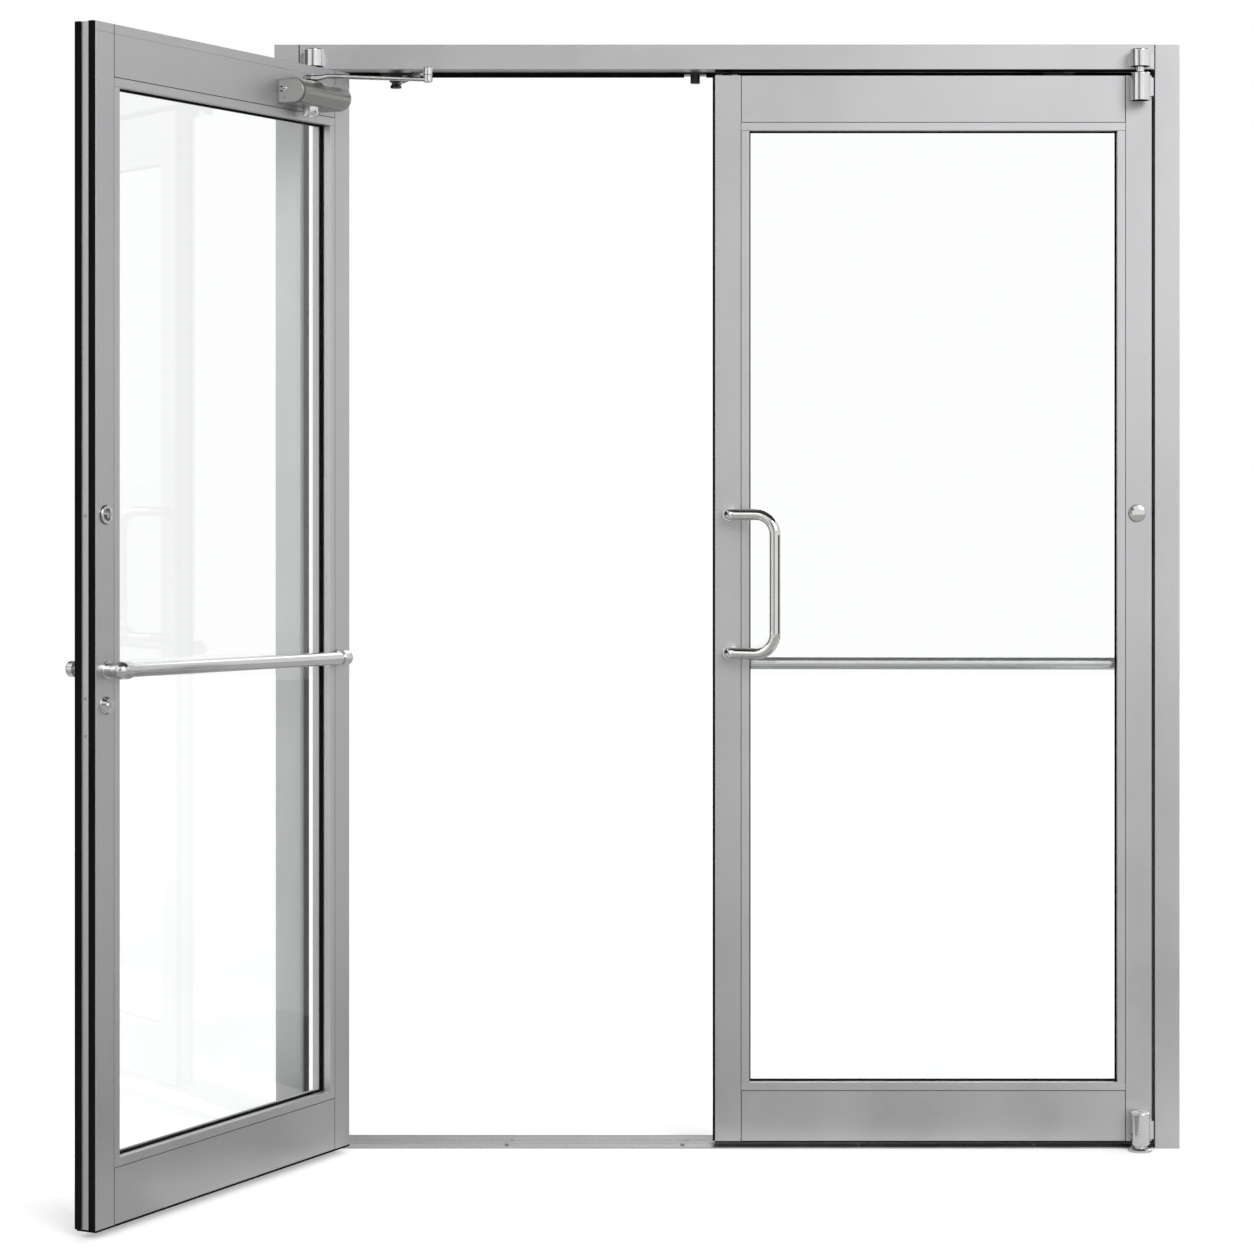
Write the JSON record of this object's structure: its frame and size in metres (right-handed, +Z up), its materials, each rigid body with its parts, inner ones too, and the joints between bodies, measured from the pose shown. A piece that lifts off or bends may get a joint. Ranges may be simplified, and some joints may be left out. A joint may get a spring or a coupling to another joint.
{
  "type": "storefront door",
  "caption": "Glazed aluminium double storefront door on offset pivots, with closers, a pull handle, a pull knob, push bars, header, jambs and threshold.",
  "frame": {"origin": "underside of the threshold, midway between the jambs and midway through the frame's depth", "axes": "+Z up, +X to the right seen from outside, -Y to the outside"},
  "size_m": [2.0584, 0.884, 2.184],
  "materials": {
    "anodised_aluminium": "satin clear anodised",
    "mill_aluminium": "worn mill finish",
    "machined_aluminium": "bright turned",
    "satin_steel": "satin brushed",
    "polished_steel": "polished",
    "blackened_steel": "semi-gloss black",
    "closer_enamel": "satin metallic enamel",
    "black_rubber": "matt black",
    "clear_glass": "clear float glass"
  },
  "bodies": {
    "frame": {"left_jamb": "anodised_aluminium", "right_jamb": "anodised_aluminium", "header": "anodised_aluminium", "threshold": "mill_aluminium", "frame_seals": "black_rubber", "header_stops": "black_rubber", "left_top_pivot": "machined_aluminium", "right_top_pivot": "machined_aluminium", "left_floor_pivot": "machined_aluminium", "right_floor_pivot": "machined_aluminium", "left_closer_shoe": "blackened_steel", "right_closer_shoe": "blackened_steel"},
    "right_leaf": {"right_hinge_stile": "anodised_aluminium", "right_meeting_stile": "anodised_aluminium", "right_top_rail": "anodised_aluminium", "right_bottom_rail": "anodised_aluminium", "right_glazing_beads": "anodised_aluminium", "right_glass": "clear_glass", "right_glazing_gaskets": "black_rubber", "right_meeting_seals": "black_rubber", "right_bottom_sweep": "black_rubber", "right_push_bar": "satin_steel", "right_push_bar_posts": "satin_steel", "right_pull_handle": "polished_steel", "right_lock_cylinders": "satin_steel", "right_pivot_knuckles": "machined_aluminium", "right_closer_body": "closer_enamel"},
    "right_main_arm": {"right_main_arm": "satin_steel"},
    "right_forearm": {"right_forearm": "satin_steel"},
    "left_leaf": {"left_hinge_stile": "anodised_aluminium", "left_meeting_stile": "anodised_aluminium", "left_top_rail": "anodised_aluminium", "left_bottom_rail": "anodised_aluminium", "left_glazing_beads": "anodised_aluminium", "left_glass": "clear_glass", "left_glazing_gaskets": "black_rubber", "left_meeting_seals": "black_rubber", "left_bottom_sweep": "black_rubber", "left_push_bar": "satin_steel", "left_push_bar_posts": "satin_steel", "left_pull_handle": "polished_steel", "left_lock_cylinders": "satin_steel", "left_pivot_knuckles": "machined_aluminium", "left_closer_body": "closer_enamel"},
    "left_main_arm": {"left_main_arm": "satin_steel"},
    "left_forearm": {"left_forearm": "satin_steel"}
  },
  "joints": [
    {"name": "right_leaf_swing", "type": "hinge", "parent": "frame", "child": "right_leaf", "pos_m": [0.8145, -0.0794, 1.1], "axis": [0, 0, 1], "range_deg": [0, 116.35]},
    {"name": "left_leaf_swing", "type": "hinge", "parent": "frame", "child": "left_leaf", "pos_m": [-0.8145, -0.0794, 1.1], "axis": [0, 0, 1], "range_deg": [0, 116.35]},
    {"name": "right_main_arm_turn", "type": "hinge", "parent": "right_leaf", "child": "right_main_arm", "pos_m": [0.666, 0.0128, 2.095], "axis": [0, 0, 1], "range_deg": [-118, 0]},
    {"name": "left_main_arm_turn", "type": "hinge", "parent": "left_leaf", "child": "left_main_arm", "pos_m": [-0.79779, -0.25339, 2.095], "axis": [0, 0, 1], "range_deg": [-118, 0]},
    {"name": "right_forearm_turn", "type": "hinge", "parent": "frame", "child": "right_forearm", "pos_m": [0.6625, 0.0153, 2.115], "axis": [0, 0, 1], "range_deg": [0, 82]},
    {"name": "left_forearm_turn", "type": "hinge", "parent": "frame", "child": "left_forearm", "pos_m": [-0.6625, 0.0153, 2.115], "axis": [0, 0, 1], "range_deg": [0, 82]}
  ],
  "couplings": [
    {"joint": "right_main_arm_turn", "follows": "right_leaf_swing", "ratio": -1.0132},
    {"joint": "right_forearm_turn", "follows": "right_leaf_swing", "ratio": 0.70292},
    {"joint": "left_main_arm_turn", "follows": "left_leaf_swing", "ratio": -1.0132},
    {"joint": "left_forearm_turn", "follows": "left_leaf_swing", "ratio": 0.70292}
  ]
}
